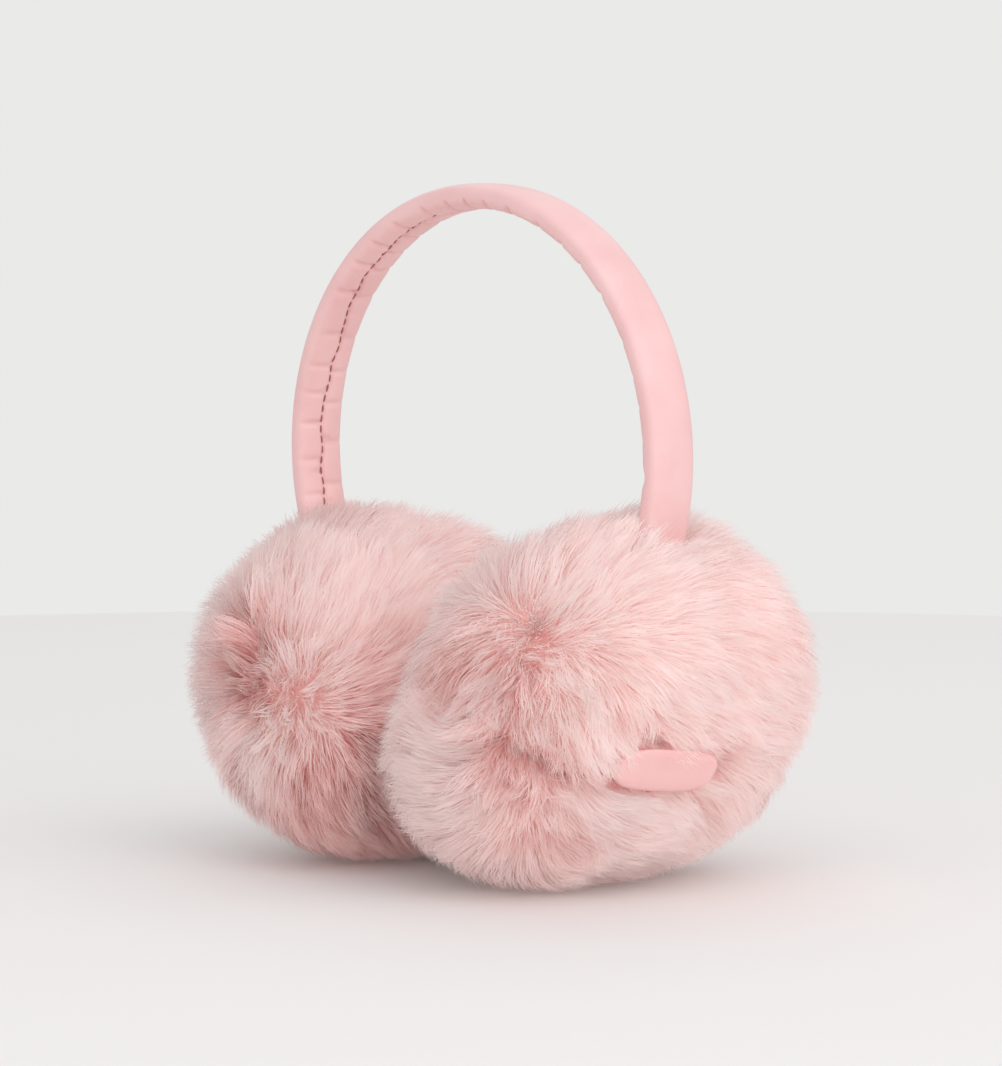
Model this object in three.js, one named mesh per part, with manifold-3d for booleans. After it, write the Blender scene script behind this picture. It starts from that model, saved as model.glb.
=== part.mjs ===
// Fur earmuffs: a leather-covered, padded headband with a deep-fur pad on each end.
// Millimetres. +X is the wearer's side with the leather patch, +Y the back, +Z up.
// The pads rest on z = 0 with their lower rims pressed together at x = 0.
import * as THREE from "three";
import { mergeVertices } from "three/addons/utils/BufferGeometryUtils.js";
import Module from "manifold-3d";

const wasm = await Module();
wasm.setup();

// Driving dimensions
const GAP = 0.3; // clearance left between neighbouring pieces

const BAND_WIDTH = 17;
const BAND_THICKNESS = 7;
const BAND_ROUNDNESS = 3; // superellipse power of the band's section: 2 is an ellipse
const BAND_SECTION_POINTS = 20;
const BAND_STEPS = 56;
const BAND_FORWARD = 4.5; // the band joins the pads this far in front of their middle

const ARCH_RADIUS = 78; // to the outer face of the band
const ARCH_CENTRE_Z = 122;
const ARCH_END = THREE.MathUtils.degToRad(118); // each buried end, measured from the top

// Soft gathers of the leather along the band's inner side, over the top of the arch
const GATHER_DEPTH = 1.1;
const GATHER_ANGLE = THREE.MathUtils.degToRad(11);
const GATHER_REACH = THREE.MathUtils.degToRad(52);

// The crease across the inner side of one leg, where the leather folds
const CREASE_ANGLE = THREE.MathUtils.degToRad(93);
const CREASE_DEPTH = 1.2;
const CREASE_SPREAD = THREE.MathUtils.degToRad(3.5);

// Outer form of the fur pads: a thick rounded disc, leaning in line with the band's end
const PAD_POWER = 2.4; // superellipse power from the face round to the rim
const PAD_RING_POWER = 2.6; // the same around the rim, seen from the side
const PAD_TILT = THREE.MathUtils.degToRad(28);
const PAD_CENTRE_X = 43.8;
const PAD_SETTLE = 0.8; // how far the fur below the middle is pressed together
const PAD_SEAM = 3; // the seam between the panels, outward of the middle
const PAD_AROUND = 48;
const PAD_ACROSS = 32;
const PADS = [
  { side: "right", mirror: 1, thick: 93, deep: 132, high: 123, centreZ: 47.6 },
  { side: "left", mirror: -1, thick: 93, deep: 128, high: 117, centreZ: 45.8 },
];

// The blank leather patch low on the right pad's outer face, in a dimple of the fur
const PATCH_LENGTH = 37;
const PATCH_HEIGHT = 12;
const PATCH_LEAN = 0.12; // how much lower its back end lies, for each millimetre along it
const PATCH_THICKNESS = 1.5;
const PATCH_END_POWER = 4; // how late along its length the pill's ends begin to round
const PATCH_END_CUT = 0.93;
const PATCH_ALONG = 20;
const PATCH_UP = 4;
const PATCH_SINK = 2; // below the fur around it
const PATCH_CENTRE = { y: -12.5, z: 37.6 };
const DIMPLE_DEPTH = 4.5;
const DIMPLE_HALF_LENGTH = 26;
const DIMPLE_HALF_HEIGHT = 14;

const HUGE = 400; // side of the blocks that stand for half-spaces
const HALVINGS = 40;

const LEATHER = { color: 0xf0c0c0, roughness: 0.42, metalness: 0 };
const PATCH_LEATHER = { color: 0xf0b4b6, roughness: 0.5, metalness: 0 };
const FUR = { color: 0xf1cdca, roughness: 1, metalness: 0 };

// A closed geometry as a solid that can be cut and joined.
function solidOf(geometry) {
  const bare = geometry.clone();
  bare.deleteAttribute("normal");
  bare.deleteAttribute("uv");
  const merged = mergeVertices(bare, 1e-4);
  const mesh = new wasm.Mesh({
    numProp: 3,
    vertProperties: new Float32Array(merged.attributes.position.array),
    triVerts: new Uint32Array(merged.index.array),
  });
  return new wasm.Manifold(mesh);
}

function geometryOf(solid) {
  const mesh = solid.getMesh();
  const geometry = new THREE.BufferGeometry();
  geometry.setAttribute("position", new THREE.BufferAttribute(mesh.vertProperties, 3));
  geometry.setIndex(new THREE.BufferAttribute(mesh.triVerts, 1));
  geometry.computeVertexNormals();
  return geometry;
}

function named(name, geometry, look) {
  const mesh = new THREE.Mesh(geometry, new THREE.MeshStandardMaterial(look));
  mesh.name = name;
  return mesh;
}

// Moves every vertex of a geometry by a function that changes a Vector3 in place.
function reshape(geometry, change) {
  const position = geometry.attributes.position;
  const point = new THREE.Vector3();
  for (let i = 0; i < position.count; i++) {
    point.fromBufferAttribute(position, i);
    change(point);
    position.setXYZ(i, point.x, point.y, point.z);
  }
  return geometry;
}

const signedPower = (value, power) => Math.sign(value) * Math.abs(value) ** power;
const bell = (distance) => Math.exp(-distance * distance);

// Headband

class Arch extends THREE.Curve {
  getPoint(t, target = new THREE.Vector3()) {
    const angle = THREE.MathUtils.lerp(-ARCH_END, ARCH_END, t);
    const radius = ARCH_RADIUS - BAND_THICKNESS / 2;
    return target.set(
      radius * Math.sin(angle),
      -BAND_FORWARD,
      ARCH_CENTRE_Z + radius * Math.cos(angle),
    );
  }
}

// The band's rounded section, swept along the arch; grow makes it larger all round.
function bandSweep(grow) {
  const section = new THREE.Shape();
  for (let i = 0; i < BAND_SECTION_POINTS; i++) {
    const angle = (2 * Math.PI * i) / BAND_SECTION_POINTS;
    const across = signedPower(Math.cos(angle), 2 / BAND_ROUNDNESS) * (BAND_WIDTH / 2 + grow);
    const through = signedPower(Math.sin(angle), 2 / BAND_ROUNDNESS) * (BAND_THICKNESS / 2 + grow);
    if (i === 0) section.moveTo(across, through);
    else section.lineTo(across, through);
  }
  return new THREE.ExtrudeGeometry(section, {
    steps: BAND_STEPS,
    bevelEnabled: false,
    extrudePath: new Arch(),
  });
}

// How far the leather stands out on the inner side at an angle from the top of the arch.
function innerPuff(angle) {
  const reach = Math.max(0, 1 - (angle / GATHER_REACH) ** 2);
  const gather = GATHER_DEPTH * Math.abs(Math.sin((Math.PI * angle) / GATHER_ANGLE)) * Math.sqrt(reach);
  const crease = CREASE_DEPTH * bell((angle - CREASE_ANGLE) / CREASE_SPREAD);
  return gather - crease;
}

function headband() {
  const middle = ARCH_RADIUS - BAND_THICKNESS / 2;
  const geometry = reshape(bandSweep(0), (point) => {
    const rise = point.z - ARCH_CENTRE_Z;
    const radius = Math.hypot(point.x, rise);
    const inward = Math.max(0, (middle - radius) / (BAND_THICKNESS / 2));
    const scale = 1 - (inward * innerPuff(Math.atan2(point.x, rise))) / radius;
    point.x *= scale;
    point.z = ARCH_CENTRE_Z + rise * scale;
  });
  return geometryOf(solidOf(geometry));
}

// Fur pads, all built on the +X side; the left pad is mirrored when it is placed

const toTilted = new THREE.Matrix4().makeRotationY(PAD_TILT);

// The fur form of one pad, before it is cut.
function padForm(pad) {
  const geometry = new THREE.SphereGeometry(1, PAD_AROUND, PAD_ACROSS);
  return reshape(geometry, (point) => {
    const ring = Math.hypot(point.x, point.z);
    const spread = ring ** (2 / PAD_POWER);
    const turn = Math.atan2(point.x, point.z);
    point.set(
      (signedPower(point.y, 2 / PAD_POWER) * pad.thick) / 2,
      (signedPower(Math.cos(turn), 2 / PAD_RING_POWER) * spread * pad.deep) / 2,
      (signedPower(Math.sin(turn), 2 / PAD_RING_POWER) * spread * pad.high) / 2,
    );
    point.applyMatrix4(toTilted);
    if (point.z < 0) point.z *= PAD_SETTLE;
    point.x += PAD_CENTRE_X;
    point.z += pad.centreZ;
  });
}

// The outermost x of a pad's form at one y and z, found by halving.
function outerX(pad, y, z) {
  const up = z - pad.centreZ;
  const height = up < 0 ? up / PAD_SETTLE : up;
  const sine = Math.sin(PAD_TILT);
  const cosine = Math.cos(PAD_TILT);
  let inside = height * Math.tan(-PAD_TILT);
  let outside = pad.thick;
  for (let i = 0; i < HALVINGS; i++) {
    const x = (inside + outside) / 2;
    const along = Math.abs(x * cosine - height * sine) / (pad.thick / 2);
    const back = Math.abs(y) / (pad.deep / 2);
    const rise = Math.abs(x * sine + height * cosine) / (pad.high / 2);
    const ring = (back ** PAD_RING_POWER + rise ** PAD_RING_POWER) ** (1 / PAD_RING_POWER);
    if (along ** PAD_POWER + ring ** PAD_POWER < 1) inside = x;
    else outside = x;
  }
  return PAD_CENTRE_X + inside;
}

// Depth of the dimple around the patch, whose middle line leans down towards the back.
function dimple(y, z) {
  const beyond = y - PATCH_CENTRE.y;
  const along = beyond / DIMPLE_HALF_LENGTH;
  const up = (z - PATCH_CENTRE.z + PATCH_LEAN * beyond) / DIMPLE_HALF_HEIGHT;
  return DIMPLE_DEPTH * bell(Math.hypot(along, up));
}

// A pill-shaped slab that follows the dimpled face, between two depths below it.
function patchSlab(pad, grow, deep, shallow) {
  const geometry = new THREE.BoxGeometry(2, 2, 1, PATCH_ALONG, PATCH_UP, 1);
  return reshape(geometry, (point) => {
    const roundEnd = Math.sqrt(1 - PATCH_END_CUT * Math.abs(point.x) ** PATCH_END_POWER);
    const beyond = point.x * (PATCH_LENGTH / 2 + grow);
    const y = PATCH_CENTRE.y + beyond;
    const middle = PATCH_CENTRE.z - PATCH_LEAN * beyond;
    const z = middle + point.y * (PATCH_HEIGHT / 2 + grow) * roundEnd;
    const depth = point.z < 0 ? deep : shallow;
    point.set(outerX(pad, y, z) - dimple(y, z) - depth, y, z);
  });
}

// The half-space beyond a plane square to +X, as a block.
function blockFrom(x) {
  return new THREE.BoxGeometry(HUGE, HUGE, HUGE).translate(x + HUGE / 2, 0, 0);
}

// The half-space on one side of a pad's tilted seam plane, as a block.
function seamBlock(pad, direction) {
  const from = PAD_SEAM + (direction * GAP) / 2;
  const block = new THREE.BoxGeometry(HUGE, HUGE, HUGE);
  block.translate(from + (direction * HUGE) / 2, 0, 0);
  block.applyMatrix4(toTilted);
  return block.translate(PAD_CENTRE_X, 0, pad.centreZ);
}

function padPanels(pad) {
  const aboveFloor = new THREE.BoxGeometry(HUGE, HUGE, HUGE).translate(0, 0, HUGE / 2);
  const form = padForm(pad);
  const dimpled = pad.mirror > 0;
  if (dimpled) {
    reshape(form, (point) => {
      if (point.x > PAD_CENTRE_X) point.x -= dimple(point.y, point.z);
    });
  }
  const whole = solidOf(form)
    .intersect(solidOf(aboveFloor))
    .intersect(solidOf(blockFrom(GAP / 2)))
    .subtract(solidOf(bandSweep(GAP)));
  const inner = whole.intersect(solidOf(seamBlock(pad, -1)));
  let outer = whole.intersect(solidOf(seamBlock(pad, 1)));
  if (dimpled) {
    const floorDepth = PATCH_SINK + PATCH_THICKNESS + GAP;
    outer = outer.subtract(solidOf(patchSlab(pad, GAP, floorDepth, -DIMPLE_DEPTH)));
  }
  return { inner, outer };
}

// Assembly

const earmuffs = new THREE.Group();
earmuffs.add(named("headband", headband(), LEATHER));

for (const pad of PADS) {
  const panels = padPanels(pad);
  const group = new THREE.Group();
  group.scale.x = pad.mirror;
  group.add(named(`${pad.side}_outer_fur`, geometryOf(panels.outer), FUR));
  group.add(named(`${pad.side}_inner_fur`, geometryOf(panels.inner), FUR));
  earmuffs.add(group);
}

const patch = patchSlab(PADS[0], 0, PATCH_SINK + PATCH_THICKNESS, PATCH_SINK);
earmuffs.add(named("side_patch", geometryOf(solidOf(patch)), PATCH_LEATHER));

export default earmuffs;
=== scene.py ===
"""Fur earmuffs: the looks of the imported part. Metres, +X to the pad with the patch, +Z up."""
import math

import bmesh
import bpy
import numpy as np
from mathutils import Matrix, Vector, kdtree


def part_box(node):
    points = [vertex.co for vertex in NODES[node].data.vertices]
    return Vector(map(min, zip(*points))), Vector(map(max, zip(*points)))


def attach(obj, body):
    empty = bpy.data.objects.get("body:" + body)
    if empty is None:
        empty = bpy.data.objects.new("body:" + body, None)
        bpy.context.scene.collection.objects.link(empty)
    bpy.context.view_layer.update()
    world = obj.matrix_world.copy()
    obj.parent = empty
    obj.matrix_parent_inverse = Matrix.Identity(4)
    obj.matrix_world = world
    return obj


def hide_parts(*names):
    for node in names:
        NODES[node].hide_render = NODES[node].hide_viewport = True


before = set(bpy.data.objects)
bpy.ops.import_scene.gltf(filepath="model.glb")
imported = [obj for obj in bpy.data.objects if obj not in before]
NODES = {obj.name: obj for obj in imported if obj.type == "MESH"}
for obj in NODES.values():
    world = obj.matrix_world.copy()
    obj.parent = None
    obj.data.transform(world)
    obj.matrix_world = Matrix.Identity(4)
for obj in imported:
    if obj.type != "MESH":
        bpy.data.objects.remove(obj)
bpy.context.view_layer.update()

MM = 0.001


# ---------------------------------------------------------------------------
# Small helpers
# ---------------------------------------------------------------------------

def linear(red, green, blue):
    """An 8-bit display colour as the linear colour that shaders take."""
    made = []
    for part in (red, green, blue):
        share = part / 255
        made.append(share / 12.92 if share <= 0.04045 else ((share + 0.055) / 1.055) ** 2.4)
    return (*made, 1)


def unit(vectors):
    """Each row at length 1."""
    length = np.linalg.norm(vectors, axis=-1, keepdims=True)
    return vectors / np.maximum(length, 1e-9)


def signed_power(value, power):
    return np.sign(value) * np.abs(value) ** power


def ease(low, high, value):
    """0 below low, 1 above high, and smooth between."""
    share = np.clip((value - low) / (high - low), 0, 1)
    return share * share * (3 - 2 * share)


class Ripple:
    """Smooth noise between about -1 and 1: a few sine waves crossing at random."""

    def __init__(self, seed, wavelength, waves=9):
        picks = np.random.default_rng(seed)
        heading = unit(picks.normal(size=(waves, 3)))
        reach = 2 * math.pi / wavelength * picks.uniform(0.6, 1.6, (waves, 1))
        self.turns = (heading * reach).T
        self.starts = picks.uniform(0, 2 * math.pi, waves)
        self.waves = waves

    def __call__(self, points):
        return np.sin(points @ self.turns + self.starts).sum(-1) / math.sqrt(self.waves)


def new_object(name, mesh):
    made = bpy.data.objects.new(name, mesh)
    bpy.context.scene.collection.objects.link(made)
    return made


def object_from(name, bm):
    """The finished bmesh as an object, with smooth faces."""
    mesh = bpy.data.meshes.new(name)
    bm.to_mesh(mesh)
    bm.free()
    mesh.polygons.foreach_set("use_smooth", np.ones(len(mesh.polygons), bool))
    return new_object(name, mesh)


def places(mesh):
    """The mesh's vertices as an array."""
    found = np.empty(len(mesh.vertices) * 3, np.float32)
    mesh.vertices.foreach_get("co", found)
    return found.reshape(-1, 3).astype(float)


def move_to(mesh, points):
    mesh.vertices.foreach_set("co", points.astype(np.float32).ravel())
    mesh.update()


def paint(obj, material):
    """Gives a piece its material and its slot, and lets it ride on the part."""
    obj.data.materials.clear()
    obj.data.materials.append(material)
    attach(obj, "root")


# ---------------------------------------------------------------------------
# Materials
# ---------------------------------------------------------------------------

def blank_material(name, roughness):
    """A new material and its main shader."""
    material = bpy.data.materials.new(name)
    material.use_nodes = True
    shader = material.node_tree.nodes["Principled BSDF"]
    shader.inputs["Roughness"].default_value = roughness
    return material, shader


def add_node(material, kind, **settings):
    """A node of a kind, with its properties, or its inputs where it has no such property."""
    node = material.node_tree.nodes.new(kind)
    for key, value in settings.items():
        if hasattr(node, key):
            setattr(node, key, value)
        else:
            node.inputs[key.replace("_", " ")].default_value = value
    return node


def join(material, source, target):
    material.node_tree.links.new(source, target)


def ramp(material, stops):
    """A colour ramp with a colour at each place."""
    node = add_node(material, "ShaderNodeValToRGB")
    elements = node.color_ramp.elements
    while len(elements) < len(stops):
        elements.new(0.5)
    for element, (place, colour) in zip(elements, stops):
        element.position = place
        element.color = colour
    return node


# Colours across the fur's tint, from greyed rose to nearly white pink: at the root and at the tip. The
# deeper roots and the greyed rose are partly the fur's own colour and partly painted shade deep among the
# strands, which cast no shadows
FUR_TINTS = (
    (0.00, linear(192, 128, 122), linear(232, 204, 200)),
    (0.33, linear(230, 158, 152), linear(249, 214, 210)),
    (0.66, linear(248, 208, 204), linear(253, 232, 229)),
    (1.00, linear(252, 226, 222), linear(254, 239, 236)),
)
FUR_LETS_THROUGH = 0.25  # share of the light that passes through a strand


def fur_material():
    """Fur coloured along each strand: rosy at the root, pale at the tip, the deeper root colour partly
    painted shade among the strands.
    """
    material, shader = blank_material("soft_pink_fur", 0.75)
    uv = add_node(material, "ShaderNodeUVMap", uv_map="OFBake")
    split = add_node(material, "ShaderNodeSeparateXYZ")
    join(material, uv.outputs["UV"], split.inputs[0])
    roots = ramp(material, [(place, root) for place, root, tip in FUR_TINTS])
    tips = ramp(material, [(place, tip) for place, root, tip in FUR_TINTS])
    # Darker towards the root: partly the fur's own colour, partly painted shade among the strands
    along = ramp(material, [(0.1, (0, 0, 0, 1)), (0.4, (0.4, 0.4, 0.4, 1)), (0.8, (1, 1, 1, 1))])
    join(material, split.outputs["X"], roots.inputs["Fac"])
    join(material, split.outputs["X"], tips.inputs["Fac"])
    join(material, split.outputs["Y"], along.inputs["Fac"])
    mixed = add_node(material, "ShaderNodeMix", data_type="RGBA")
    join(material, along.outputs["Color"], mixed.inputs["Factor"])
    join(material, roots.outputs["Color"], mixed.inputs["A"])
    join(material, tips.outputs["Color"], mixed.inputs["B"])
    join(material, mixed.outputs["Result"], shader.inputs["Base Color"])
    shader.inputs["Specular IOR Level"].default_value = 0.1
    glow = add_node(material, "ShaderNodeBsdfTranslucent")
    join(material, mixed.outputs["Result"], glow.inputs["Color"])
    both = add_node(material, "ShaderNodeMixShader", Fac=FUR_LETS_THROUGH)
    join(material, shader.outputs["BSDF"], both.inputs[1])
    join(material, glow.outputs["BSDF"], both.inputs[2])
    surface = material.node_tree.nodes["Material Output"].inputs["Surface"]
    join(material, both.outputs["Shader"], surface)
    return material


def backing_material():
    """The knitted backing that the fur grows from, a deeper pink: partly its own colour, partly painted
    shade for the depth between the strands.
    """
    material, shader = blank_material("fur_backing", 0.95)
    where = add_node(material, "ShaderNodeTexCoord")
    cells = add_node(material, "ShaderNodeTexVoronoi", Scale=900.0)
    join(material, where.outputs["Object"], cells.inputs["Vector"])
    # The deeper pink seen between strands is partly painted shade
    knit = ramp(material, [(0.0, linear(222, 158, 152)), (0.7, linear(238, 182, 177))])
    join(material, cells.outputs["Distance"], knit.inputs["Fac"])
    join(material, knit.outputs["Color"], shader.inputs["Base Color"])
    return material


def leather_material(name, light, deep, roughness, bump):
    """Smooth soft leather: a fine pebbled grain, and slight shifts in its colour."""
    material, shader = blank_material(name, roughness)
    where = add_node(material, "ShaderNodeTexCoord")
    cloud = add_node(material, "ShaderNodeTexNoise", Scale=60.0, Detail=4.0)
    grain = add_node(material, "ShaderNodeTexVoronoi", Scale=1400.0)
    fine = add_node(material, "ShaderNodeTexNoise", Scale=2600.0, Detail=2.0)
    for texture in (cloud, grain, fine):
        join(material, where.outputs["Object"], texture.inputs["Vector"])
    colour = ramp(material, [(0.3, deep), (0.7, light)])
    join(material, cloud.outputs["Fac"], colour.inputs["Fac"])
    join(material, colour.outputs["Color"], shader.inputs["Base Color"])
    height = add_node(material, "ShaderNodeMath", operation="MULTIPLY")
    join(material, grain.outputs["Distance"], height.inputs[0])
    join(material, fine.outputs["Fac"], height.inputs[1])
    relief = add_node(material, "ShaderNodeBump", Strength=bump, Distance=0.1 * MM)
    join(material, height.outputs[0], relief.inputs["Height"])
    join(material, relief.outputs["Normal"], shader.inputs["Normal"])
    shine = add_node(material, "ShaderNodeMapRange")
    shine.inputs["To Min"].default_value = roughness - 0.06
    shine.inputs["To Max"].default_value = roughness + 0.08
    join(material, cloud.outputs["Fac"], shine.inputs["Value"])
    join(material, shine.outputs["Result"], shader.inputs["Roughness"])
    shader.inputs["Specular IOR Level"].default_value = 0.4
    return material


def thread_material():
    material, shader = blank_material("rose_thread", 0.6)
    where = add_node(material, "ShaderNodeTexCoord")
    twist = add_node(material, "ShaderNodeTexWave", Scale=2200.0, Distortion=1.0)
    join(material, where.outputs["Object"], twist.inputs["Vector"])
    strand = ramp(material, [(0.0, linear(150, 84, 86)), (1.0, linear(186, 112, 112))])
    join(material, twist.outputs["Fac"], strand.inputs["Fac"])
    join(material, strand.outputs["Color"], shader.inputs["Base Color"])
    return material


# ---------------------------------------------------------------------------
# The form of a pad
# ---------------------------------------------------------------------------

PAD_TILT = math.radians(28)
FACE_POWER = 2.4
RIM_POWER = 2.6
PAD_THICK = 93 * MM
PAD_CENTRE_X = 43.8 * MM
PAD_SETTLE = 0.8
PAD_SEAM = 3 * MM
GAP = 0.3 * MM
PILE = 12 * MM  # depth of the fur over its backing


class Pad:
    """A fur pad's outer form. Its own x runs outwards from the other pad, on either side."""

    def __init__(self, side, mirror, high, centre_z):
        self.side = side
        self.mirror = mirror
        low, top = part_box(f"{side}_outer_fur")
        low_in, top_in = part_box(f"{side}_inner_fur")
        deep = max(top.y, top_in.y) - min(low.y, low_in.y)
        self.half = np.array([PAD_THICK, deep, high]) / 2
        self.centre = np.array([PAD_CENTRE_X, (low.y + top.y) / 2, centre_z])

    def to_tilted(self, points):
        """Points in the row frame, already mirrored to +X, as axial, back and up of the pad."""
        x, y, z = np.moveaxis(points - self.centre, -1, 0)
        z = np.where(z < 0, z / PAD_SETTLE, z)
        sine, cosine = math.sin(PAD_TILT), math.cos(PAD_TILT)
        return np.stack([x * cosine - z * sine, y, x * sine + z * cosine], -1)

    def from_tilted(self, points):
        axial, back, up = np.moveaxis(points, -1, 0)
        sine, cosine = math.sin(PAD_TILT), math.cos(PAD_TILT)
        x = axial * cosine + up * sine
        z = up * cosine - axial * sine
        z = np.where(z < 0, z * PAD_SETTLE, z)
        return np.stack([x, back, z], -1) + self.centre

    def level(self, points, shrink=0.0):
        """1 on the form, less inside it and more outside, growing evenly from its centre."""
        axial, back, up = np.abs(np.moveaxis(self.to_tilted(points) / (self.half - shrink), -1, 0))
        ring = (back ** RIM_POWER + up ** RIM_POWER) ** (1 / RIM_POWER)
        return (axial ** FACE_POWER + ring ** FACE_POWER) ** (1 / FACE_POWER)

    def normals(self, points, shrink):
        """Outward directions at points of the form, from how its level grows."""
        step = 0.2 * MM
        slope = []
        for axis in range(3):
            aside = np.zeros(3)
            aside[axis] = step
            slope.append(self.level(points + aside, shrink) - self.level(points - aside, shrink))
        return unit(np.stack(slope, -1))

    def on_form(self, sphere, shrink):
        """Points of a unit sphere moved to the pad's form, shrunk all round."""
        axial, back, up = np.moveaxis(sphere, -1, 0)
        ring = np.hypot(back, up)
        turn = np.arctan2(up, back)
        spread = ring ** (2 / FACE_POWER)
        form = np.stack([
            signed_power(axial, 2 / FACE_POWER),
            signed_power(np.cos(turn), 2 / RIM_POWER) * spread,
            signed_power(np.sin(turn), 2 / RIM_POWER) * spread,
        ], -1)
        return self.from_tilted(form * (self.half - shrink))

    def surface(self, points):
        """The points moved straight out from the pad's centre to its form."""
        return self.centre + (points - self.centre) / self.level(points)[..., None]

    def placed(self, points):
        """Back to the pad's own side of the row frame."""
        return points * np.array([self.mirror, 1, 1])


PADS = (
    Pad("right", 1, 123 * MM, 47.6 * MM),
    Pad("left", -1, 117 * MM, 45.8 * MM),
)


def skin_mesh(pad, outer):
    """A bmesh of the backing of one panel, on the +X side, cut at the seam between the panels."""
    bm = bmesh.new()
    bmesh.ops.create_uvsphere(bm, u_segments=96, v_segments=64, radius=1)
    sphere = np.array([v.co[:] for v in bm.verts])
    form = pad.on_form(sphere[:, [2, 0, 1]], PILE)
    for vertex, place in zip(bm.verts, form):
        vertex.co = place
    across = Vector((math.cos(PAD_TILT), 0, -math.sin(PAD_TILT)))
    middle = Vector(pad.centre) + across * (PAD_SEAM + (GAP / 2 if outer else -GAP / 2))
    cut = bmesh.ops.bisect_plane(
        bm, geom=bm.verts[:] + bm.edges[:] + bm.faces[:], plane_co=middle, plane_no=across,
        clear_inner=outer, clear_outer=not outer)
    rim = [part for part in cut["geom_cut"] if isinstance(part, bmesh.types.BMEdge)]
    bmesh.ops.triangle_fill(bm, edges=rim, use_beauty=True)
    bmesh.ops.recalc_face_normals(bm, faces=bm.faces[:])
    return bm


# ---------------------------------------------------------------------------
# How the fur lies
# ---------------------------------------------------------------------------
# Places are in millimetres from the pad's centre: outwards, back and up. A comb row says which
# way the fur lies there, a whorl row where it parts and spreads out, and over what distance.

COMBS = {
    "right": (
        # outwards, back, up,   lies outwards, back, up,   reach
        (10, -14, 60, 0.1, 0.9, 0.2, 16),
        (12, 24, 56, 0.2, 0.9, 0.0, 16),
        (27, -26, 53, 0.1, 0.5, 0.9, 13),
        (16, -46, 46, 0.1, 0.4, 1.0, 12),
        (31, -46, 40, 0.3, 0.5, 0.9, 8),
        (43, -25, 41, 0.5, 0.55, 0.1, 8),
        (46, -10, 40, 0.6, 0.65, -0.4, 10),
        (32, 8, 53, 0.6, 0.6, 0.2, 11),
        (38, 25, 46, 0.7, 0.7, -0.1, 14),
        (13, -57, 34, -0.3, -0.3, -1.0, 10),
        (4, -65, 19, -0.3, -0.3, -1.0, 9),
        (23, -59, 25, 0.25, 0.25, -1.0, 8),
        (38, -46, 24, 0.4, 0.45, -0.9, 9),
        (40, -43, 12, 0.2, 0.2, -1.0, 11),
        (3, -66, 5, -0.4, -0.45, 0.8, 8),
        (-8, -62, -8, -0.7, -0.7, 0.3, 10),
        (6, -60, -20, -0.7, -0.7, 0.35, 11),
        (14, -57, -25, -0.1, -0.1, -1.0, 9),
        (44, -20, -14, 0.7, 0.75, 0.1, 7),
        (20, -60, -10, 0.2, 0.2, -1.0, 7),
        (28, -46, -22, 0.6, 0.65, -0.5, 9),
        (27, -27, -32, 0.7, 0.7, -0.3, 13),
        (38, -18, -24, 0.55, 0.6, -0.6, 9),
        (49, -16, 12, 0.7, 0.7, -0.35, 9),
        (48, 8, 8, 0.7, 0.7, -0.4, 14),
        (44, 22, 22, 0.7, 0.7, -0.4, 16),
        (36, 18, -20, 0.5, 0.5, -0.7, 12),
        (36, 38, 0, 0.4, 0.8, -0.5, 18),
        (0, 62, 10, -0.4, 0.6, -0.7, 28),
        (-30, 0, 20, -0.2, 0.3, -0.9, 30),
    ),
    "left": (
        (0, -14, 56, -0.1, 0.9, 0.3, 16),
        (-8, -44, 45, -0.1, 0.1, 1.0, 14),
        (6, -52, 38, 0.0, 0.0, 1.0, 11),
        (-15, -58, 24, -0.1, 0.1, 1.0, 9),
        (-30, -48, 22, -0.3, 0.3, 0.9, 9),
        (-34, -34, 29, -0.4, 0.45, 0.8, 11),
        (-40, -44, 10, -0.65, 0.7, 0.3, 8),
        (-20, -61, 2, -0.7, 0.7, -0.3, 7),
        (-41, -43, 0, -0.7, 0.7, -0.05, 9),
        (-36, -50, -19, -0.5, 0.5, -0.7, 11),
        (-22, -58, -16, -0.35, 0.35, -0.9, 9),
        (-8, -62, -15, -0.2, 0.2, -1.0, 9),
        (-20, -46, -34, -0.4, 0.45, -0.8, 14),
        (6, -62, -12, 0.15, -0.15, -1.0, 9),
        (8, -62, 20, 0.4, -0.45, 0.6, 7),
        (16, -62, 4, 0.7, -0.7, -0.1, 8),
        (26, -56, 14, 0.7, -0.7, 0.2, 12),
        (24, -58, -10, 0.6, -0.6, -0.5, 12),
        (42, -10, 10, 0.3, 0.4, -0.9, 26),
        (34, 0, 40, 0.7, 0.2, 0.1, 18),
        (0, 60, 10, -0.3, 0.5, -0.8, 28),
    ),
}

WHORLS = {
    "right": (
        # outwards, back, up,   strength, reach
        (47, -28, 1, 0.4, 5),
    ),
    "left": (
        (0, -63, 4, 0.1, 8),
    ),
}

# Where the fur is tousled: its tufts stand up and point anyhow
TOUSLED = {
    "right": (
        # outwards, back, up,   how much, reach
        (27, -58, -4, 1.0, 13),
        (20, -61, 14, 0.6, 11),
        (23, -54, 34, 0.8, 8),
        (13, -60, -18, 0.7, 12),
        (26, -38, -32, 0.4, 13),
        (40, -45, 10, 0.3, 10),
        (47, -28, 1, 0.7, 6),
    ),
    "left": (
        (7, -62, 16, 1.0, 13),
        (-8, -62, 2, 0.8, 11),
        (-4, -58, -26, 0.4, 15),
        (10, -52, 34, 0.4, 13),
    ),
}
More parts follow.
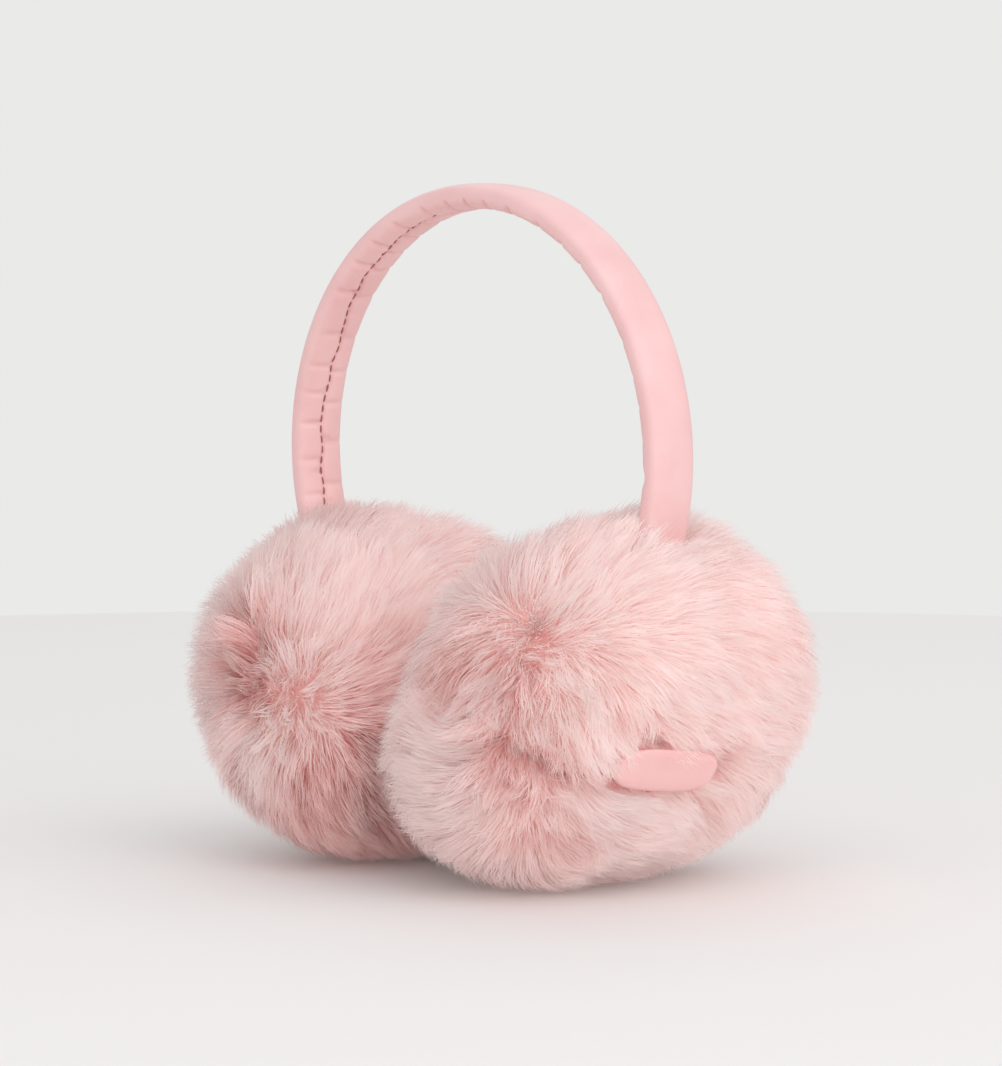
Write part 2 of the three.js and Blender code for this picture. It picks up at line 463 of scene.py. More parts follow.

# Folds where the fur opens down to its roots, each a line from one place to another; strands there are cut
# short and darkened with painted shade
PARTINGS = {
    "right": (
        # outwards, back, up,   to outwards, back, up,   depth, reach
        (47, 10, -3, 45, 9, -14, 1.0, 3.2),
        (48, -2, -3, 44, -1, -13, 1.0, 3.4),
        (44, -1, -13, 40, 4, -20, 1.0, 2.8),
        (41, -13, -15, 38, -13, -22, 1.0, 2.2),
        (38, 7, -21, 36, 11, -26, 0.8, 2.2),
        (30, -53, -10, 40, -32, -13, 0.8, 2.4),
        (48, -30, 3, 47, -20, -1, 0.9, 2.2),
        (45, -40, 14, 46, -37, 5, 0.5, 1.5),
        (4, -65, 19, 3, -66, 9, 0.7, 1.8),
        (19, -60, 27, 24, -62, 12, 0.6, 1.7),
        (27, -59, 23, 30, -58, 14, 0.5, 1.6),
        (18, -62, 1, 30, -57, -5, 0.8, 3.4),
        (15, -61, -6, 20, -59, -16, 0.6, 2.5),
        (14, -53, -29, 24, -42, -32, 0.5, 3.0),
    ),
    "left": (
        (4, -57, 33, -1, -62, 20, 0.8, 2.4),
        (-1, -62, 20, -1, -64, -1, 0.9, 2.8),
        (11, -62, 19, 10, -64, 4, 0.8, 2.4),
        (-33, -53, -5, -40, -45, -7, 0.4, 2.0),
        (-38, -46, -12, -32, -44, -32, 0.5, 5.0),
    ),
}

# Patches of tint over the fur, from greyed rose (0) to nearly white pink (1): partly the fur's own shifts
# in colour, partly painted shade on the far pad's lower side, which turns from the light, and partly
# painted light that lifts fur lying in shade low on the pads
TINTS = {
    "right": (
        # outwards, back, up,   tint, strength, reach
        (27, -58, -6, 0.64, 1.0, 10),
        (3, -64, 20, 0.4, 1.0, 9),
        (20, -60, 20, 0.75, 0.7, 9),
        (24, -55, 33, 1.0, 1.5, 12),
        (46, 0, 20, 0.9, 1.0, 28),
        (12, -50, -34, 0.62, 0.8, 12),
        (-4, -62, -14, 0.95, 1.2, 12),
        (42, -42, 10, 0.95, 0.9, 9),
        (20, -30, 54, 1.0, 1.5, 18),
        (42, -20, 44, 1.0, 1.4, 14),
        (32, -24, -30, 0.95, 1.0, 12),
    ),
    "left": (
        (-8, -44, 45, 1.0, 1.3, 20),
        (5, -61, 18, 0.14, 1.2, 8),
        (-14, -62, 5, 1.0, 1.4, 8),
        (-35, -46, 4, 0.66, 0.8, 12),
        (-34, -48, -24, 0.1, 2.0, 14),
        (-16, -50, -34, 0.3, 1.0, 12),
        (-42, -40, 12, 0.3, 1.2, 12),
        (12, -56, -24, 0.5, 1.0, 10),
        (-6, -62, -4, 1.0, 1.2, 11),
    ),
}
BASE_TINT = 0.82


def spots(pad, table, columns):
    """A table's rows as arrays: places in the pad's frame in metres, then its other columns."""
    rows = np.array(table[pad.side], float)
    where = pad.surface(rows[:, :3] * MM + pad.centre)
    return where, rows[:, 3:3 + columns], rows[:, -1] * MM


def nearness(points, where, reach):
    apart = np.linalg.norm(points[:, None, :] - where[None], axis=-1)
    return np.exp(-0.5 * (apart / reach) ** 2), apart


def comb(pad, points, normals):
    """The way the fur lies at each point, along the surface, and how far its neighbours agree."""
    where, ways, reach = spots(pad, COMBS, 3)
    near, _ = nearness(points, where, reach)
    total = near.sum(-1)
    flow = near @ unit(ways)
    flow += np.array([0.03, 0.03, -0.1])
    where, rest, reach = spots(pad, WHORLS, 1)
    near, _ = nearness(points, where, reach)
    for index in range(len(where)):
        away = unit(points - where[index])
        flow += away * (near[:, index] * rest[index, 0])[:, None]
    flow -= normals * (flow * normals).sum(-1, keepdims=True)
    agreed = np.linalg.norm(flow, axis=-1) / (total + 0.12)
    return unit(flow), np.clip(agreed, 0, 1)


def tousle_at(pad, points):
    """How tousled the fur is, from 0 to 1."""
    where, rest, reach = spots(pad, TOUSLED, 1)
    near, _ = nearness(points, where, reach)
    return np.clip(near @ rest[:, 0], 0, 1)


def parting_at(pad, points):
    """How open the fur is, from 0 to 1: deepest along the partings' own lines."""
    opened = np.zeros(len(points))
    for row in np.array(PARTINGS[pad.side], float):
        first, last = pad.surface(row[:6].reshape(2, 3) * MM + pad.centre)
        along = last - first
        share = np.clip((points - first) @ along / (along @ along), 0, 1)
        apart = np.linalg.norm(points - first - share[:, None] * along, axis=-1)
        opened = np.maximum(opened, row[6] * np.exp(-((apart / (row[7] * MM)) ** 2)))
    return opened


def tint_at(pad, points):
    where, rest, reach = spots(pad, TINTS, 2)
    near, _ = nearness(points, where, reach)
    pull = near * rest[:, 1]
    return (BASE_TINT * 0.4 + pull @ rest[:, 0]) / (0.4 + pull.sum(-1))


# ---------------------------------------------------------------------------
# The band and the patch, as the fur has to keep clear of them
# ---------------------------------------------------------------------------

BAND_LOW, BAND_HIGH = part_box("headband")
BAND_WIDTH = BAND_HIGH.y - BAND_LOW.y
BAND_MIDDLE_Y = (BAND_HIGH.y + BAND_LOW.y) / 2
BAND_THICK = 7 * MM
ARCH_OUTER = BAND_HIGH.x
ARCH_MIDDLE = ARCH_OUTER - BAND_THICK / 2
ARCH_CENTRE_Z = BAND_HIGH.z - ARCH_OUTER
ARCH_END = math.radians(118)
SECTION_POWER = 3
COLLAR_RISE = 7 * MM  # how much higher the fur stands against the band's legs

PATCH_LOW, PATCH_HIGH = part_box("side_patch")
PATCH_MIDDLE = (PATCH_LOW + PATCH_HIGH) / 2
PATCH_LENGTH = PATCH_HIGH.y - PATCH_LOW.y
PATCH_HEIGHT = 12 * MM
PATCH_LEAN = 0.12
DIMPLE_DEPTH = 4.5 * MM
PATCH_SINK = 2 * MM


def clear_of_band(points, room):
    """Moves points that are inside the band, or nearer than room, out to its side."""
    x, y, z = np.moveaxis(points, -1, 0)
    rise = z - ARCH_CENTRE_Z
    radius = np.hypot(x, rise)
    across = (y - BAND_MIDDLE_Y) / (BAND_WIDTH / 2 + room)
    through = (radius - ARCH_MIDDLE) / (BAND_THICK / 2 + room)
    size = (np.abs(across) ** SECTION_POWER + np.abs(through) ** SECTION_POWER) ** (1 / SECTION_POWER)
    turned = np.abs(np.arctan2(x, rise)) > ARCH_END
    grow = np.where(turned, 1, 1 / np.clip(size, 0.15, 1))
    out_y = BAND_MIDDLE_Y + (y - BAND_MIDDLE_Y) * grow
    out_radius = ARCH_MIDDLE + (radius - ARCH_MIDDLE) * grow
    share = out_radius / np.maximum(radius, 1e-6)
    return np.stack([x * share, out_y, ARCH_CENTRE_Z + rise * share], -1), size


def band_distance(points):
    """How far points lie from the band."""
    x, y, z = np.moveaxis(points, -1, 0)
    rise = z - ARCH_CENTRE_Z
    across = np.abs(y - BAND_MIDDLE_Y) - BAND_WIDTH / 2
    through = np.abs(np.hypot(x, rise) - ARCH_MIDDLE) - BAND_THICK / 2
    beyond = (np.abs(np.arctan2(x, rise)) - ARCH_END) * ARCH_MIDDLE
    return np.sqrt(sum(np.maximum(part, 0) ** 2 for part in (across, through, beyond)))


def bulge(points, normals):
    """How far the fur swells round the band's legs, most of all on their outer side."""
    beside = 1 - ease(0, 26 * MM, band_distance(points))
    outward = 0.4 + 0.6 * np.clip(normals[:, 0], 0, 1)
    return normals * (COLLAR_RISE * beside * outward)[:, None]


def patch_distance(points):
    """How far points lie outside the patch's outline, seen from the side; less than 0 inside."""
    y = points[..., 1] - PATCH_MIDDLE.y
    z = points[..., 2] - PATCH_MIDDLE.z + PATCH_LEAN * y
    straight = PATCH_LENGTH / 2 - PATCH_HEIGHT / 2
    beyond = np.maximum(np.abs(y) - straight, 0)
    away = np.hypot(beyond, z) - PATCH_HEIGHT / 2
    return np.where(points[..., 0] > PAD_CENTRE_X, away, 1.0)


# ---------------------------------------------------------------------------
# Fur
# ---------------------------------------------------------------------------

GUARD_HAIRS = 30000  # long strands on one panel
UNDER_HAIRS = 15000  # short ones below them
TUFT_SPREAD = 1.6 * MM
LOCK_SPREAD = 5 * MM


def scatter(mesh_object, count, picks, density):
    """Points spread over a mesh, more where density is higher."""
    mesh = mesh_object.data
    mesh.calc_loop_triangles()
    corners = np.empty(len(mesh.loop_triangles) * 3, np.int32)
    mesh.loop_triangles.foreach_get("vertices", corners)
    a, b, c = np.moveaxis(places(mesh)[corners.reshape(-1, 3)], 1, 0)
    area = np.linalg.norm(np.cross(b - a, c - a), axis=-1) * density((a + b + c) / 3)
    chosen = picks.choice(len(area), count, p=area / area.sum())
    first = np.sqrt(picks.uniform(size=(count, 1)))
    second = picks.uniform(size=(count, 1))
    a, b, c = a[chosen], b[chosen], c[chosen]
    return a * (1 - first) + b * first * (1 - second) + c * first * second


def grow(roots, normals, lies, length, lift, steps):
    """Paths that rise from their roots and bend over to lie along the fur."""
    here = roots.copy()
    path = [here]
    start, end = lift
    for step in range(steps):
        share = (step + 0.5) / steps
        angle = start + (end - start) * share ** 0.8
        here = here + (lies * np.cos(angle)[:, None] + normals * np.sin(angle)[:, None]) \
            * (length / steps)[:, None]
        path.append(here)
    return np.stack(path, 1)


def gather(roots, centres):
    """For each root, the index of the nearest centre."""
    tree = kdtree.KDTree(len(centres))
    for index, place in enumerate(centres):
        tree.insert(place, index)
    tree.balance()
    return np.array([tree.find(place)[1] for place in roots])


def beside_patch(pad, roots):
    """Whether strands rooted here come out beside the patch, and not through it."""
    lies, _ = comb(pad, pad.surface(roots), pad.normals(roots, PILE))
    comes_out = patch_distance(roots + lies * 2.5 * MM) > 0
    return comes_out & (patch_distance(roots) > -4.5 * MM)


def parted_for(pad, seen, lies):
    """How much a strand is cut short so that its tip stops before a parting that it leans to."""
    cut = np.zeros(len(seen))
    for ahead in (0, 3, 6, 9):
        cut = np.maximum(cut, parting_at(pad, seen + lies * ahead * MM) * (1 - ahead / 13))
    return cut


def hair_settings(pad, roots, picks, wild):
    """Everything about strands that depends on where they grow."""
    normals = pad.normals(roots, PILE)
    seen = pad.surface(roots)
    lies, agreed = comb(pad, seen, normals)
    tousled = tousle_at(pad, seen)
    parted = parted_for(pad, seen, lies)
    by_leg = 1 - ease(3 * MM, 20 * MM, band_distance(seen))
    upright = (1 - ease(0.05, 0.5, agreed)) * (1 - by_leg)
    sway = Ripple(11, 26 * MM)(roots) * 0.2 + Ripple(12, 9 * MM)(roots) * 0.26
    sway += Ripple(14, 4 * MM)(roots) * (0.12 + 0.2 * tousled)
    sway += picks.normal(size=len(roots)) * wild * (0.9 + 2.6 * tousled + 3.5 * upright)
    aside = np.cross(normals, lies)
    lies = lies * np.cos(sway)[:, None] + aside * np.sin(sway)[:, None]
    length = 17 * MM * (1 + 0.1 * Ripple(13, 18 * MM)(roots) + picks.normal(0, 0.09, len(roots)))
    length *= (1 - 0.15 * tousled) * (1 - 0.8 * parted)
    start = np.radians(67 + 5 * upright + 7 * picks.normal(size=len(roots)))
    end = np.radians(18 + 10 * upright + 18 * tousled + 32 * by_leg + 10 * picks.normal(size=len(roots)))
    if pad.side == "right":
        away = patch_distance(roots)
        length *= 0.9 + 0.1 * ease(0, 8 * MM, away)
        over = 1 - ease(-2 * MM, 2 * MM, patch_distance(roots + lies * 9 * MM))
        length *= 1 - 0.2 * over * ease(-4 * MM, 2 * MM, roots[:, 2] - PATCH_MIDDLE.z)
    return normals, lies, length, (start, end)


def strand_paths(pad, roots, picks, steps, scale):
    """The strands' paths, drawn together in tufts and locks, and what each one's tuft adds."""
    normals, lies, length, lift = hair_settings(pad, roots, picks, 0.12)
    paths = grow(roots, normals, lies, length * scale, lift, steps)
    share = np.linspace(0, 1, steps + 1)[None, :, None]
    seen = pad.surface(roots)
    tousled = tousle_at(pad, seen)[:, None, None]
    lean = np.zeros((len(roots), 3))
    shift = np.zeros(len(roots))
    area = 2 * math.pi * (45 * MM) ** 2
    for spread, pull, wild in ((TUFT_SPREAD, 0.38, 0.2), (LOCK_SPREAD, 0.13, 0.16)):
        count = int(area / (spread * spread * 2.4))
        centres = roots[picks.choice(len(roots), min(count, len(roots) // 4), replace=False)]
        n2, l2, len2, lift2 = hair_settings(pad, centres, picks, wild)
        middles = grow(centres, n2, l2, len2 * scale, lift2, steps)
        owner = gather(roots, centres)
        strength = pull * picks.uniform(0.6, 1.3, len(centres))[owner][:, None, None]
        strength = strength * (1 + 0.7 * tousled)
        paths = paths + (middles[owner] - paths) * strength * share ** 1.3
        lean += 0.14 * picks.normal(size=(len(centres), 3))[owner]
        shift += 0.04 * picks.normal(size=len(centres))[owner]
    drift = picks.normal(0, 0.5 * MM, (len(roots), 1, 3)) * share ** 2
    paths = paths + drift
    beside = 1 - ease(1 * MM, 7 * MM, band_distance(paths[:, -1]))
    paths[..., 2] += (3 * MM * beside)[:, None] * share[..., 0] ** 1.4
    tint = tint_at(pad, seen) + shift
    # Painted shade: strands at and leaning into a parting are darkened, as the strands cast no shadow into
    # the fold
    tint -= 0.75 * parted_for(pad, seen, lies) + 0.35 * parting_at(pad, seen)
    # Painted light: strands near the band are paler, against the shade round the base of its legs
    tint += 0.2 * (1 - ease(0, 12 * MM, band_distance(seen)))
    # Painted light: strands below the patch and near its rim are paler, against the shade under the patch
    if pad.side == "right":
        below = 1 - ease(-6 * MM, 0, roots[:, 2] - PATCH_MIDDLE.z)
        tint += 0.4 * below * (1 - ease(2 * MM, 8 * MM, patch_distance(roots)))
    facing = unit(normals + lean * (0.6 + 0.8 * tousled[:, 0]))
    # Light gets in between strands from the side, so those below are shaded less than a wall would be
    facing[:, 2] = np.where(facing[:, 2] < 0, 0.3 * facing[:, 2], facing[:, 2])
    return paths, unit(facing), tint


def settle(pad, paths, swell, picks):
    """Keeps strands within the fur's form, on their own side, off the floor and off the band."""
    level = pad.level(paths - swell[:, None])
    cap = (1 + picks.normal(0.0, 0.012, len(paths)))[:, None]
    squeeze = np.minimum(1, (cap + 0.35 * (level - cap)) / np.maximum(level, 1e-6))
    squeeze = np.where(level > cap, squeeze, 1)
    paths = pad.centre + (paths - pad.centre) * squeeze[..., None]
    paths, _ = clear_of_band(paths, 0.25 * MM)
    fuzz = picks.uniform(0.1, 1.2, (len(paths), 1)) * MM
    paths[..., 0] = np.maximum(paths[..., 0], fuzz)
    paths[..., 2] = np.maximum(paths[..., 2], fuzz * 0.6)
    return paths


def ribbons(paths, normals, width, tint, picks):
    """Flat tapering strands along the paths: vertices, faces, map and shading normals."""
    count, rows, _ = paths.shape
    along = unit(np.gradient(paths, axis=1))
    facing = np.repeat(normals[:, None], rows, 1)
    side = unit(np.cross(along, facing))
    other = np.cross(side, along)
    roll = picks.uniform(-0.8, 0.8, (count, 1, 1))
    side = side * np.cos(roll) + other * np.sin(roll)
    share = np.linspace(0, 1, rows)
    taper = (0.75 + 0.5 * share) * (1 - share ** 3)
    half = 0.5 * width[:, None] * taper[None, :-1]
    left = paths[:, :-1] - side[:, :-1] * half[..., None]
    right = paths[:, :-1] + side[:, :-1] * half[..., None]
    body = np.stack([left, right], 2).reshape(count, -1, 3)
    points = np.concatenate([body, paths[:, -1:]], 1)
    per = points.shape[1]
    base = (np.arange(count) * per)[:, None, None]
    first = 2 * np.arange(rows - 2)[:, None]
    quads = base + (first + np.array([[0, 1, 3, 2]]))[None]
    tip = base[:, 0] + np.array([[per - 3, per - 2, per - 1]])
    blend = facing * 0.8 + other * 0.35 + along * 0.1
    blend = unit(np.repeat(blend[:, :-1], 2, 1))
    shade = np.concatenate([blend, unit(facing[:, -1:] + 0.2 * along[:, -1:])], 1)
    u = np.stack([tint - 0.002, tint + 0.002], -1)
    return points, quads.reshape(-1, 4), tip, shade, u, share


def strands_object(name, pad, batches):
    """One mesh of all the strands of a panel."""
    points, corners, starts, uvs, shades = [], [], [], [], []
    offset = 0
    corner_count = 0
    for made_points, quads, tips, shade, u, share in batches:
        count, per, _ = made_points.shape
        rows = len(share)
        flip = pad.mirror < 0
        quads = quads[:, ::-1] if flip else quads
        tips = tips[:, ::-1] if flip else tips
        all_u = np.concatenate([np.tile(u, (1, rows - 1)), u.mean(-1, keepdims=True)], 1)
        all_v = np.concatenate([np.repeat(share[:-1], 2), share[-1:]])
        all_v = np.clip(all_v, 0.01, 0.99)[None].repeat(count, 0)
        flat = np.stack([all_u, all_v], -1).reshape(-1, 2)
        for faces in (quads, tips):
            corners.append(faces.ravel() + offset)
            starts.append(corner_count + np.arange(len(faces)) * faces.shape[1])
            uvs.append(flat[faces.ravel()])
            corner_count += faces.size
        points.append(pad.placed(made_points.reshape(-1, 3)))
        shades.append(pad.placed(shade.reshape(-1, 3)))
        offset += count * per
    points, shades = np.concatenate(points), np.concatenate(shades)
    corners, starts, uvs = np.concatenate(corners), np.concatenate(starts), np.concatenate(uvs)
    mesh = bpy.data.meshes.new(name)
    mesh.vertices.add(len(points))
    mesh.vertices.foreach_set("co", points.astype(np.float32).ravel())
    mesh.loops.add(len(corners))
    mesh.loops.foreach_set("vertex_index", corners.astype(np.int32))
    mesh.polygons.add(len(starts))
    mesh.polygons.foreach_set("loop_start", starts.astype(np.int32))
    mesh.update(calc_edges=True)
    mesh.polygons.foreach_set("use_smooth", np.ones(len(starts), bool))
    layer = mesh.uv_layers.new(name="OFBake")
    layer.uv.foreach_set("vector", uvs.astype(np.float32).ravel())
    mesh.validate()
    mesh.normals_split_custom_set_from_vertices(shades.astype(np.float32))
    return new_object(name, mesh)


def panel(pad, kind, fur, backing):
    """One fur panel: its backing and all its strands."""
    outer = kind == "outer"
    seed = 40 + 2 * (pad.mirror > 0) + outer
    picks = np.random.default_rng(seed)
    skin = object_from(f"{pad.side}_{kind}_backing", skin_mesh(pad, outer))
    form = places(skin.data)
    move_to(skin.data, form + 0.6 * bulge(form, pad.normals(form, PILE)))

    def density(where):
        sideways = pad.to_tilted(where)[:, 0]
        on_seam_cap = np.abs(sideways - PAD_SEAM) < 0.4 * MM
        dense = np.where(np.abs(patch_distance(where)) < 4 * MM, 1.8, 1.0)
        return np.where(on_seam_cap & (pad.level(where, PILE) < 0.95), 0.0, dense)

    batches = []
    for count, scale, steps, width in (
            (GUARD_HAIRS, 1.0, 3, 0.25), (UNDER_HAIRS, 0.62, 2, 0.36)):
        roots = scatter(skin, int(count * 1.12), picks, density)
        _, size = clear_of_band(roots, 0)
        keep = size > 1.02
        if pad.side == "right":
            keep &= beside_patch(pad, roots)
        roots = roots[keep][:count]
        paths, normals, tint = strand_paths(pad, roots, picks, steps, scale)
        swell = bulge(roots, pad.normals(roots, PILE))
        paths = paths + 0.4 * swell[:, None]
        _, size = clear_of_band(paths[:, -1], 0)
        free = size > 0.85
        roots, paths, swell, normals, tint = (
            part[free] for part in (roots, paths, swell, normals, tint))
        paths = settle(pad, paths, swell, picks)
        tint = tint + 0.06 * Ripple(21, 12 * MM)(roots) + picks.normal(0, 0.09, len(roots))
        tint = np.clip(tint, 0.02, 0.98)
        wide = width * MM * picks.uniform(0.7, 1.25, len(roots))
        batches.append(ribbons(paths, normals, wide, tint, picks))
    strands = strands_object(f"{pad.side}_{kind}_strands", pad, batches)
    strands.visible_shadow = False  # light passes down between strands this fine
    move_to(skin.data, pad.placed(places(skin.data)))
    if pad.mirror < 0:
        skin.data.flip_normals()
    paint(skin, backing)
    paint(strands, fur)
    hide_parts(f"{pad.side}_{kind}_fur")
    return skin, strands


# ---------------------------------------------------------------------------
# Headband
# ---------------------------------------------------------------------------

BAND_ROUND = 96  # points round the band's section
BAND_STEPS = 480
CREASES = 34
PUFF_PITCH = 10.5 * MM  # between the broad dents where the leather is gathered at its seam
KINK_ANGLE = math.radians(93)  # a sharp fold on the inner side of the leg by the patch


def seam_line(angle):
    """How far behind the band's middle its inner seam runs, wandering a little."""
    slow = 1.0 * np.sin(4.3 * angle + 0.6) + 0.5 * np.sin(11.3 * angle + 2.0)
    quick = 0.3 * np.sin(27 * angle) + 0.22 * np.sin(43 * angle + 1.0)
    return (-0.5 + slow + quick) * MM


def band_relief(angle, back, inward):
    """How far the leather stands out on the band's inner side, from its creases and its seam."""
    inner = ARCH_OUTER - BAND_THICK
    off = back - seam_line(angle)
    arc = angle * inner
    lift = -0.8 * MM * np.exp(-((off / (0.8 * MM)) ** 2))
    lift += 0.25 * MM * np.exp(-(((np.abs(off) - 3 * MM) / (2.4 * MM)) ** 2))
    top = np.clip(1 - (angle / math.radians(62)) ** 2, 0, 1)
    for direction, start in ((-1, 0.0), (1, 1.3)):
        away = off * direction
        drift = 0.8 * np.sin(arc / (19 * MM) + start) + 0.5 * np.sin(arc / (7.3 * MM))
        turn = math.pi * arc / PUFF_PITCH + drift + start
        dent = np.exp(-((np.sin(turn) / 0.26) ** 2))
        reach = ease(0, 1 * MM, away) * (1 - 0.85 * ease(3 * MM, 11 * MM, away) * (1 - top))
        lift -= (0.6 + 0.8 * top) * MM * dent * reach
    picks = np.random.default_rng(7)
    widest = math.radians(112)
    for index in range(CREASES):
        middle = -widest + 2 * widest * (index + picks.uniform(0.1, 0.9)) / CREASES
        away = -off if picks.uniform() < 0.6 else off
        slant = picks.uniform(-0.5, 0.5)
        length = picks.uniform(2.5, 6.5) * MM
        depth = picks.uniform(0.2, 0.6) * MM
        width = picks.uniform(0.5, 0.9) * MM
        line = arc - middle * inner - slant * away
        share = ease(-0.3 * MM, 0.6 * MM, away) * (1 - ease(0.4 * length, length, away))
        lift = lift - depth * share * np.exp(-((line / width) ** 2))
    kink = np.exp(-(((angle - KINK_ANGLE) / math.radians(1.6)) ** 2))
    return (lift + 0.2 * MM * top - 1.3 * MM * kink) * inward


def headband(leather):
    """The padded band: one section spun round the arch, then creased on its inner side."""
    bm = bmesh.new()
    ring = bmesh.ops.create_circle(bm, segments=BAND_ROUND, radius=1)["verts"]
    for vertex in ring:
        across, through = vertex.co.x, vertex.co.y
        size = (abs(across * 2 / BAND_WIDTH) ** SECTION_POWER
                + abs(through * 2 / BAND_THICK) ** SECTION_POWER) ** (1 / SECTION_POWER)
        vertex.co = Vector((0, BAND_MIDDLE_Y + across / size,
                            ARCH_CENTRE_Z + ARCH_MIDDLE + through / size))
    hub = Vector((0, 0, ARCH_CENTRE_Z))
    bmesh.ops.rotate(bm, verts=bm.verts[:], cent=hub,
                     matrix=Matrix.Rotation(-ARCH_END, 3, "Y"))
    bmesh.ops.spin(bm, geom=bm.verts[:] + bm.edges[:], cent=hub, axis=(0, 1, 0),
                   angle=2 * ARCH_END, steps=BAND_STEPS, use_duplicate=False)
    ends = [edge for edge in bm.edges if edge.is_boundary]
    bmesh.ops.holes_fill(bm, edges=ends, sides=0)
    bmesh.ops.recalc_face_normals(bm, faces=bm.faces[:])
    band = object_from("leather_headband", bm)
    points = places(band.data)
    x, y, z = points.T
    rise = z - ARCH_CENTRE_Z
    radius = np.hypot(x, rise)
    angle = np.arctan2(x, rise)
    inward = ease(0.1, 0.75, (ARCH_MIDDLE - radius) / (BAND_THICK / 2))
    lift = band_relief(angle, y - BAND_MIDDLE_Y, inward)
    share = 1 - lift / radius
    move_to(band.data, np.stack([x * share, y, ARCH_CENTRE_Z + rise * share], 1))
    paint(band, leather)
    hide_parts("headband")
    return band


def stitches(thread):
    """The row of short stitches that closes the band along its inner side."""
    pitch = 3.1 * MM
    inner = ARCH_OUTER - BAND_THICK
    bm = bmesh.new()
    reach = math.radians(104)
    count = int(2 * reach * inner / pitch)
    for index in range(count + 1):
        angle = -reach + 2 * reach * index / count
        step = 0.5 * pitch / inner
        ends = []
        for side in (-0.75, 0.75):
            a = angle + side * step
            back = float(seam_line(np.float64(a)))
            depth = float(band_relief(np.float64(a), np.float64(back), 1.0))
            r = inner - depth - 0.12 * MM
            ends.append(Vector((r * math.sin(a), BAND_MIDDLE_Y + back, ARCH_CENTRE_Z + r * math.cos(a))))
        line = ends[1] - ends[0]
        made = bmesh.ops.create_uvsphere(bm, u_segments=8, v_segments=6, radius=1)["verts"]
        bmesh.ops.scale(bm, verts=made, vec=(0.32 * MM, 0.32 * MM, line.length / 2))
        turn = line.to_track_quat("Z", "Y").to_matrix()
        bmesh.ops.rotate(bm, verts=made, cent=(0, 0, 0), matrix=turn)
        bmesh.ops.translate(bm, verts=made, vec=(ends[0] + ends[1]) / 2)
    made = object_from("band_stitches", bm)
    paint(made, thread)
    return made


# ---------------------------------------------------------------------------
# Leather patch
# ---------------------------------------------------------------------------

def face_x(pad, y, z):
    """The outermost x of the pad's form at a place, found by halving."""
    low = np.full(len(y), pad.centre[0])
    high = np.full(len(y), pad.centre[0] + PAD_THICK)
    for _ in range(30):
        middle = (low + high) / 2
        inside = pad.level(np.stack([middle, y, z], -1)) < 1
        low = np.where(inside, middle, low)
        high = np.where(inside, high, middle)
    return low


def dimple(y, z):
    along = (y - PATCH_MIDDLE.y) / (26 * MM)
    up = (z - PATCH_MIDDLE.z + PATCH_LEAN * (y - PATCH_MIDDLE.y)) / (14 * MM)
    return DIMPLE_DEPTH * np.exp(-(along ** 2 + up ** 2))


def side_patch(pad, leather):
    """A blank pill of leather, softly crowned, lying in the fur."""
    bm = bmesh.new()
    bmesh.ops.create_grid(bm, x_segments=40, y_segments=16, size=1)
    flat = np.array([v.co[:] for v in bm.verts])
    end = np.sqrt(1 - 0.93 * np.abs(flat[:, 0]) ** 4)
    beyond = flat[:, 0] * PATCH_LENGTH / 2
    y = PATCH_MIDDLE.y + beyond
    z = PATCH_MIDDLE.z - PATCH_LEAN * beyond + flat[:, 1] * PATCH_HEIGHT / 2 * end
    edge = np.maximum(np.abs(flat[:, 0]) ** 8, np.abs(flat[:, 1]) ** 4)
    x = face_x(pad, y, z) - dimple(y, z) - PATCH_SINK - 0.9 * MM * edge + 0.2 * MM
    for vertex, place in zip(bm.verts, np.stack([x, y, z], 1)):
        vertex.co = place
    outline = bmesh.ops.extrude_face_region(bm, geom=bm.faces[:])["geom"]
    back = [part for part in outline if isinstance(part, bmesh.types.BMVert)]
    bmesh.ops.translate(bm, verts=back, vec=(-2.5 * MM, 0, 0))
    bmesh.ops.recalc_face_normals(bm, faces=bm.faces[:])
    made = object_from("leather_patch", bm)
    paint(made, leather)
    made.visible_shadow = False  # the fur under it is lit through its own strands
    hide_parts("side_patch")
    return made


# ---------------------------------------------------------------------------
# Studio
# ---------------------------------------------------------------------------

VIEW_AZIMUTH = math.radians(46.5)
VIEW_ELEVATION = 0.073
VIEW_DISTANCE = 1.2
LOOK_AT_Z = 98.4 * MM
FOCAL_LENGTH = 139.0
LOOK_ASIDE = 1.65 * MM


def camera():
    """The camera, a little above the pads and turned well round to the patch's side."""
    sine, cosine = math.sin(VIEW_AZIMUTH), math.cos(VIEW_AZIMUTH)
    back = Vector((sine * math.cos(VIEW_ELEVATION), -cosine * math.cos(VIEW_ELEVATION),
                   math.sin(VIEW_ELEVATION)))
    aside = Vector((cosine, sine, 0)) * LOOK_ASIDE
    data = bpy.data.cameras.new("camera")
    data.lens = FOCAL_LENGTH
    made = new_object("camera", data)
    made.location = Vector((0, 0, LOOK_AT_Z)) + aside + back * VIEW_DISTANCE
    made.rotation_euler = (-back).to_track_quat("-Z", "Y").to_euler()
    data.clip_start = 0.01
    data.clip_end = 20
    bpy.context.scene.camera = made


def floor():
    """A plain round of pale paper under the earmuffs."""
    bm = bmesh.new()
    bmesh.ops.create_circle(bm, cap_ends=True, segments=128, radius=0.83)
    made = object_from("floor", bm)
    material, shader = blank_material("pale_paper", 0.8)
    shader.inputs["Base Color"].default_value = linear(241, 239, 237)
    shader.inputs["Specular IOR Level"].default_value = 0.2
    made.data.materials.append(material)


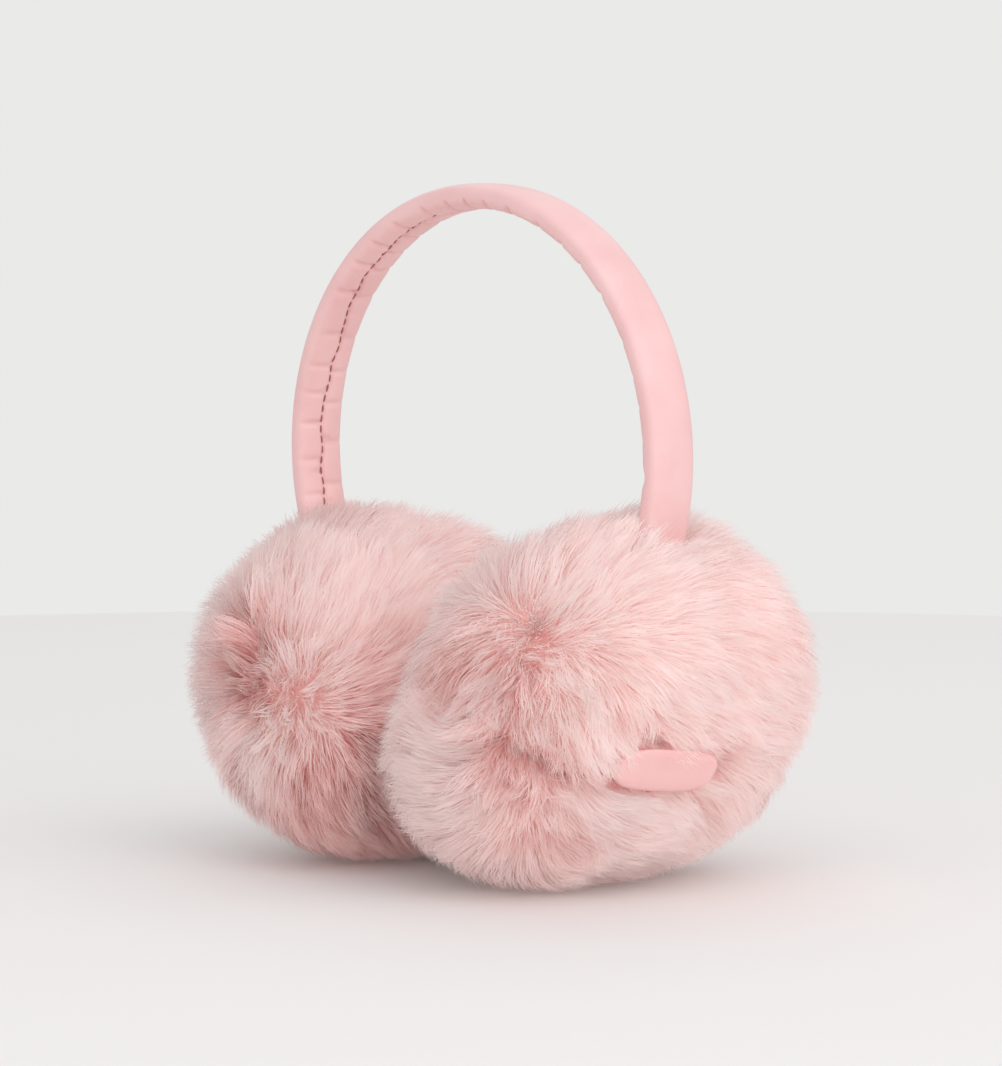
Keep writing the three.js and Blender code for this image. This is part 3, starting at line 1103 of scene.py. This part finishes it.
def softbox(name, aside, up, towards, size, power, colour=(1, 1, 1)):
    """A square light facing the earmuffs, placed by the camera's right, up and nearness."""
    sine, cosine = math.sin(VIEW_AZIMUTH), math.cos(VIEW_AZIMUTH)
    place = Vector((cosine, sine, 0)) * aside + Vector((sine, -cosine, 0)) * towards
    place.z = up
    data = bpy.data.lights.new(name, "AREA")
    data.size = size
    data.energy = power
    data.color = colour
    made = new_object(name, data)
    made.location = place
    made.rotation_euler = (place - Vector((0, 0, 0.07))).to_track_quat("Z", "Y").to_euler()


def studio():
    scene = bpy.context.scene
    scene.view_settings.view_transform = "Standard"
    world = bpy.data.worlds.new("studio")
    world.use_nodes = True
    shown = world.node_tree.nodes["Background"]
    shown.inputs["Color"].default_value = linear(234, 234, 233)
    nodes = world.node_tree.nodes
    lit = nodes.new("ShaderNodeBackground")
    lit.inputs["Color"].default_value = linear(240, 240, 242)
    lit.inputs["Strength"].default_value = 0.72
    path = nodes.new("ShaderNodeLightPath")
    both = nodes.new("ShaderNodeMixShader")
    links = world.node_tree.links
    links.new(path.outputs["Is Camera Ray"], both.inputs["Fac"])
    links.new(lit.outputs["Background"], both.inputs[1])
    links.new(shown.outputs["Background"], both.inputs[2])
    links.new(both.outputs["Shader"], nodes["World Output"].inputs["Surface"])
    scene.world = world
    softbox("overhead", 0.3, 1.7, 1.1, 2.2, 10)
    softbox("key", 1.6, 1.0, 0.8, 2.0, 8.5)
    softbox("fill", -1.1, 0.7, 1.4, 1.4, 4)
    softbox("low front", 0.6, 0.3, 1.6, 1.0, 4)
    softbox("behind", 0.0, 1.3, -1.2, 1.6, 3.5)


# ---------------------------------------------------------------------------
# Build
# ---------------------------------------------------------------------------

band_leather = leather_material("band_leather", linear(244, 202, 200), linear(239, 191, 190), 0.42, 0.25)
patch_leather = leather_material("patch_leather", linear(252, 202, 200), linear(248, 194, 193), 0.48, 0.25)
thread = thread_material()
fur = fur_material()
backing = backing_material()

headband(band_leather)
stitches(thread)
side_patch(PADS[0], patch_leather)
for pad in PADS:
    for kind in ("outer", "inner"):
        panel(pad, kind, fur, backing)

camera()
floor()
studio()
